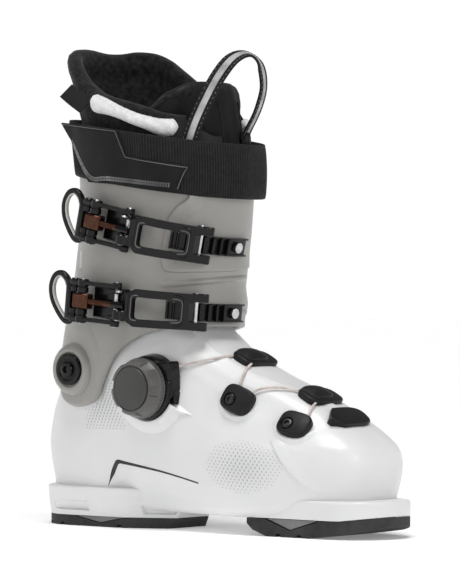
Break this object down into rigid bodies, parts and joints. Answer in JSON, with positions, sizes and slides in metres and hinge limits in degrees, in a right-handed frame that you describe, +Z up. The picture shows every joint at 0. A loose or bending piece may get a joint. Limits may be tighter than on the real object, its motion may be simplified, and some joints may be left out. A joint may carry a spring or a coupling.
{
  "type": "alpine ski boot",
  "caption": "Right alpine ski boot with a hinged cuff, two over-centre buckles, a dial lace closure on the instep and a removable liner.",
  "frame": {"origin": "on the flat bottom of the heel sole, on the boot's centre line, 60 mm in front of the back of the heel", "axes": "+X to the toe, +Y to the medial side, +Z up"},
  "size_m": [0.302, 0.1287, 0.334],
  "materials": {
    "shell_plastic": "satin white moulded shell",
    "cuff_plastic": "satin warm grey moulded cuff",
    "grey_plastic": "matte",
    "sole_rubber": "matte",
    "fleece": "plush",
    "black_fabric": "knitted and woven",
    "lace": "smooth braided",
    "steel": "satin",
    "copper": "dark copper anodised",
    "black_plastic": "satin"
  },
  "bodies": {
    "shell": {"lower_shell": "shell_plastic", "boot_board": "grey_plastic", "liner_foot": "black_fabric", "heel_sole_pad": "sole_rubber", "heel_sole_core": "grey_plastic", "toe_sole_pad": "sole_rubber", "toe_sole_core": "grey_plastic", "heel_sole_screw_lateral": "steel", "heel_sole_screw_medial": "steel", "toe_sole_screw_lateral": "steel", "toe_sole_screw_medial": "steel", "dial_base": "black_plastic", "lace_cable": "lace", "instep_guide_upper": "black_plastic", "instep_guide_lower": "black_plastic", "lateral_guide_upper": "black_plastic", "lateral_guide_lower": "black_plastic", "lateral_guide_upper_screw": "steel", "lateral_guide_lower_screw": "steel", "toe_plate": "black_plastic"},
    "cuff": {"cuff_shell": "cuff_plastic", "cuff_rivet_lateral": "black_plastic", "cuff_rivet_medial": "black_plastic", "cuff_spine": "black_plastic", "power_strap": "black_fabric", "strap_end": "black_fabric", "liner_cuff": "black_fabric", "liner_tongue": "black_fabric", "liner_trim_lateral": "fleece", "liner_trim_medial": "fleece", "pull_loop": "black_fabric", "upper_buckle_base": "black_plastic", "upper_buckle_pin": "steel", "upper_buckle_ladder": "black_plastic", "upper_buckle_ladder_screw": "steel", "lower_buckle_base": "black_plastic", "lower_buckle_pin": "steel", "lower_buckle_ladder": "black_plastic", "lower_buckle_ladder_screw": "steel"},
    "upper_lever": {"upper_buckle_lever": "black_plastic"},
    "upper_bail": {"upper_buckle_trunnion": "copper", "upper_buckle_bail": "black_plastic", "upper_buckle_catch_bar": "steel"},
    "upper_rod": {"upper_buckle_rod": "copper"},
    "lower_lever": {"lower_buckle_lever": "black_plastic"},
    "lower_bail": {"lower_buckle_trunnion": "copper", "lower_buckle_bail": "black_plastic", "lower_buckle_catch_bar": "steel"},
    "lower_rod": {"lower_buckle_rod": "copper"},
    "dial_spool": {"dial_spool": "grey_plastic"},
    "dial_grip": {"dial_knob": "grey_plastic", "dial_cap": "black_plastic"}
  },
  "joints": [
    {"name": "cuff_flex", "type": "hinge", "parent": "shell", "child": "cuff", "pos_m": [-0.006, 0, 0.11], "axis": [0, 1, 0], "range_deg": [0, 4], "stiffness_Nm_per_rad": 300},
    {"name": "upper_buckle_lever", "type": "hinge", "parent": "cuff", "child": "upper_lever", "pos_m": [0.052, -0.0575, 0.206], "axis": [0.225, 0, 0.9744], "range_deg": [0, 110]},
    {"name": "upper_buckle_bail", "type": "hinge", "parent": "upper_lever", "child": "upper_bail", "pos_m": [0.02569, -0.0625, 0.21207], "axis": [0.225, 0, 0.9744], "range_deg": [-143, 0]},
    {"name": "upper_buckle_rod", "type": "hinge", "parent": "upper_bail", "child": "upper_rod", "pos_m": [0.02569, -0.0625, 0.21207], "axis": [0.9744, 0, -0.225], "continuous": true},
    {"name": "lower_buckle_lever", "type": "hinge", "parent": "cuff", "child": "lower_lever", "pos_m": [0.043, -0.059, 0.155], "axis": [0.1045, 0, 0.9945], "range_deg": [0, 110]},
    {"name": "lower_buckle_bail", "type": "hinge", "parent": "lower_lever", "child": "lower_bail", "pos_m": [0.01615, -0.064, 0.15782], "axis": [0.1045, 0, 0.9945], "range_deg": [-143, 0]},
    {"name": "lower_buckle_rod", "type": "hinge", "parent": "lower_bail", "child": "lower_rod", "pos_m": [0.01615, -0.064, 0.15782], "axis": [0.9945, 0, -0.1045], "continuous": true},
    {"name": "dial_turn", "type": "hinge", "parent": "shell", "child": "dial_spool", "pos_m": [0.062, -0.0515, 0.098], "axis": [0, -1, 0], "continuous": true},
    {"name": "dial_pull", "type": "slide", "parent": "dial_spool", "child": "dial_grip", "axis": [0, -1, 0], "range_m": [0, 0.003]}
  ],
  "couplings": [
    {"joint": "upper_buckle_bail", "follows": "upper_buckle_lever", "ratio": -1.3},
    {"joint": "lower_buckle_bail", "follows": "lower_buckle_lever", "ratio": -1.3}
  ]
}
